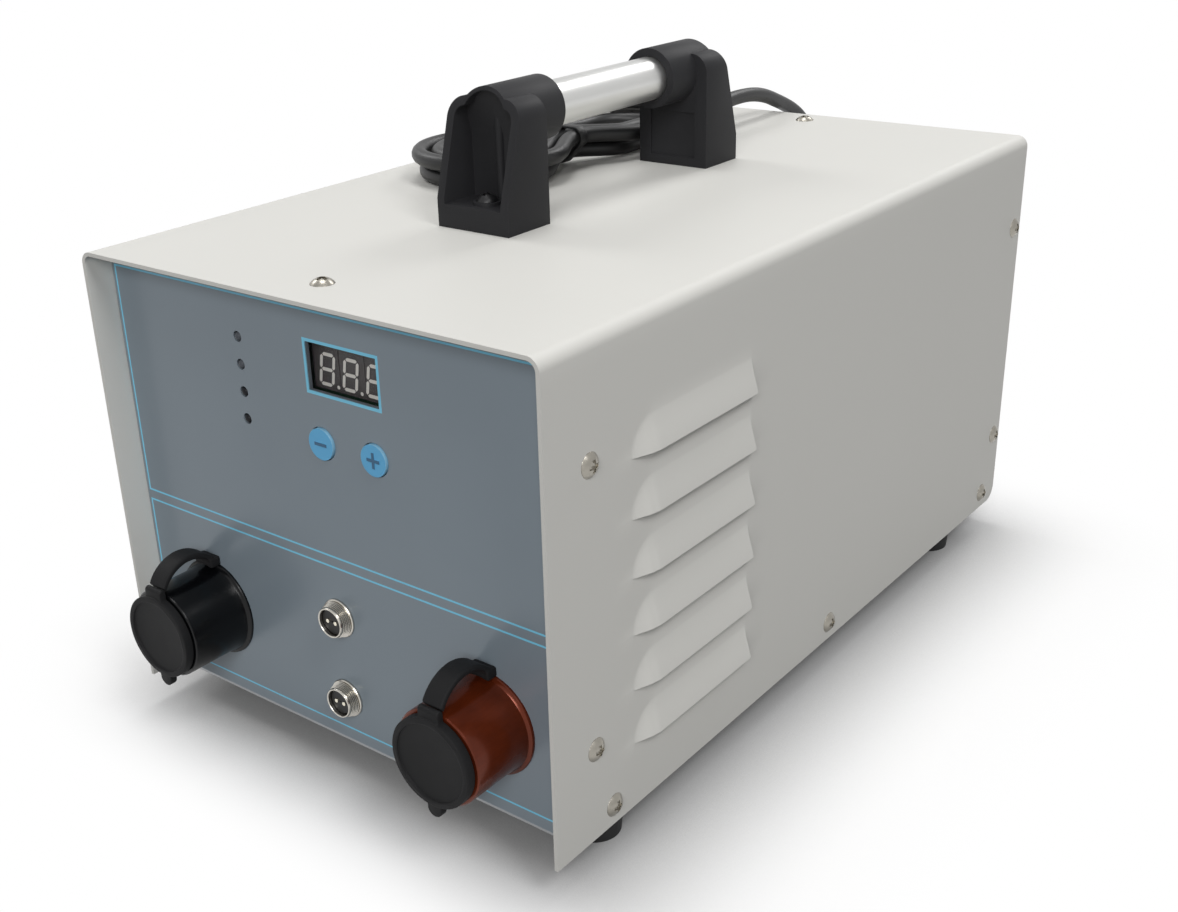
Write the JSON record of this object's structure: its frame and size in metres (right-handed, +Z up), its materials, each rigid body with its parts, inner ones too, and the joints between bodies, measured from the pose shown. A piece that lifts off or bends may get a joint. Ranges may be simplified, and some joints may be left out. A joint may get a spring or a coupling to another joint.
{
  "type": "capacitor-discharge stud welder",
  "caption": "Bench-top stud welder: a louvred sheet-steel case with a carrying handle, display and keys, capped weld-cable sockets, round control connectors and a tied mains lead.",
  "frame": {"origin": "on the floor under the middle of the machine's outline, the mains lead left out", "axes": "+Z up, -Y out of the front panel, +X to the right as seen from the front"},
  "size_m": [0.2272, 0.4246, 0.2515],
  "materials": {
    "cover_paint": "powder coat, fine texture",
    "zinc_steel": "zinc plated",
    "panel_film": "semi-gloss printed film",
    "panel_steel": "satin",
    "foot_rubber": "matte",
    "screw_steel": "bright",
    "handle_plastic": "fine moulded texture",
    "handle_aluminium": "brushed along its length",
    "display_smoke": "smoked",
    "display_face": "matte",
    "board_green": "satin",
    "brass": "turned",
    "lamp_lens": "smoked lens",
    "key_blue": "satin",
    "socket_black": "gloss",
    "socket_brown": "gloss",
    "cap_rubber": "matte",
    "nickel": "satin nickel",
    "inner_plastic": "matte",
    "switch_gloss": "gloss",
    "capacitor_sleeve": "shrink sleeve",
    "copper": "bare copper",
    "sink_aluminium": "extruded",
    "core_steel": "varnished laminations",
    "coil_wrap": "taped winding",
    "cord_black": "satin"
  },
  "bodies": {
    "case": {"cover_shell": "cover_paint", "base_tray": "zinc_steel", "front_panel": "panel_steel", "front_film": "panel_film", "rear_panel": "cover_paint", "rubber_feet": "foot_rubber", "foot_screws": "screw_steel", "cover_screws": "screw_steel", "front_handle_bracket": "handle_plastic", "rear_handle_bracket": "handle_plastic", "handle_tube": "handle_aluminium", "handle_screws": "screw_steel", "display_window": "display_smoke", "display_module": "display_face", "display_board": "board_green", "board_posts": "brass", "indicator_lamps": "lamp_lens", "button_switches": "inner_plastic", "black_socket": "socket_black", "red_socket": "socket_brown", "black_contact": "brass", "red_contact": "brass", "socket_nuts": "inner_plastic", "black_strap": "cap_rubber", "red_strap": "cap_rubber", "upper_connector": "nickel", "lower_connector": "nickel", "connector_inserts": "inner_plastic", "connector_pins": "brass", "panel_nuts": "nickel", "fan_frame": "inner_plastic", "fan_guard": "screw_steel", "fan_screws": "screw_steel", "switch_body": "switch_gloss", "fuse_body": "inner_plastic", "cable_gland": "inner_plastic", "earth_stud": "brass", "capacitors": "capacitor_sleeve", "capacitor_clamps": "zinc_steel", "capacitor_bars": "copper", "heat_sink": "sink_aluminium", "thyristor_module": "inner_plastic", "rectifier_bridge": "inner_plastic", "transformer_core": "core_steel", "transformer_coil": "coil_wrap", "discharge_resistor": "sink_aluminium", "control_board": "board_green", "power_cord": "cord_black", "cord_hank": "cord_black", "cord_tie": "inner_plastic", "plug": "cord_black", "plug_pins": "brass"},
    "minus_key": {"minus_button": "key_blue"},
    "plus_key": {"plus_button": "key_blue"},
    "black_lid": {"black_cap": "cap_rubber"},
    "red_lid": {"red_cap": "cap_rubber"},
    "rocker": {"power_rocker": "switch_gloss"},
    "rotor": {"fan_rotor": "inner_plastic"},
    "fuse": {"fuse_cap": "inner_plastic"}
  },
  "joints": [
    {"name": "minus_press", "type": "slide", "parent": "case", "child": "minus_key", "axis": [0, 1, 0], "range_m": [0, 0.0006], "stiffness_N_per_m": 600},
    {"name": "plus_press", "type": "slide", "parent": "case", "child": "plus_key", "axis": [0, 1, 0], "range_m": [0, 0.0006], "stiffness_N_per_m": 600},
    {"name": "black_cap_hinge", "type": "hinge", "parent": "case", "child": "black_lid", "pos_m": [-0.072, -0.19048, 0.0735], "axis": [-1, 0, 0], "range_deg": [0, 120]},
    {"name": "red_cap_hinge", "type": "hinge", "parent": "case", "child": "red_lid", "pos_m": [0.072, -0.19048, 0.0735], "axis": [-1, 0, 0], "range_deg": [0, 120]},
    {"name": "power_rocker_tilt", "type": "hinge", "parent": "case", "child": "rocker", "pos_m": [-0.062, 0.17078, 0.154], "axis": [-1, 0, 0], "range_deg": [0, 18]},
    {"name": "fan_spin", "type": "hinge", "parent": "case", "child": "rotor", "pos_m": [0.048, 0.155, 0.126], "axis": [0, 1, 0], "continuous": true},
    {"name": "fuse_turn", "type": "hinge", "parent": "case", "child": "fuse", "pos_m": [-0.062, 0.175, 0.11], "axis": [0, 1, 0], "range_deg": [0, 90]}
  ]
}
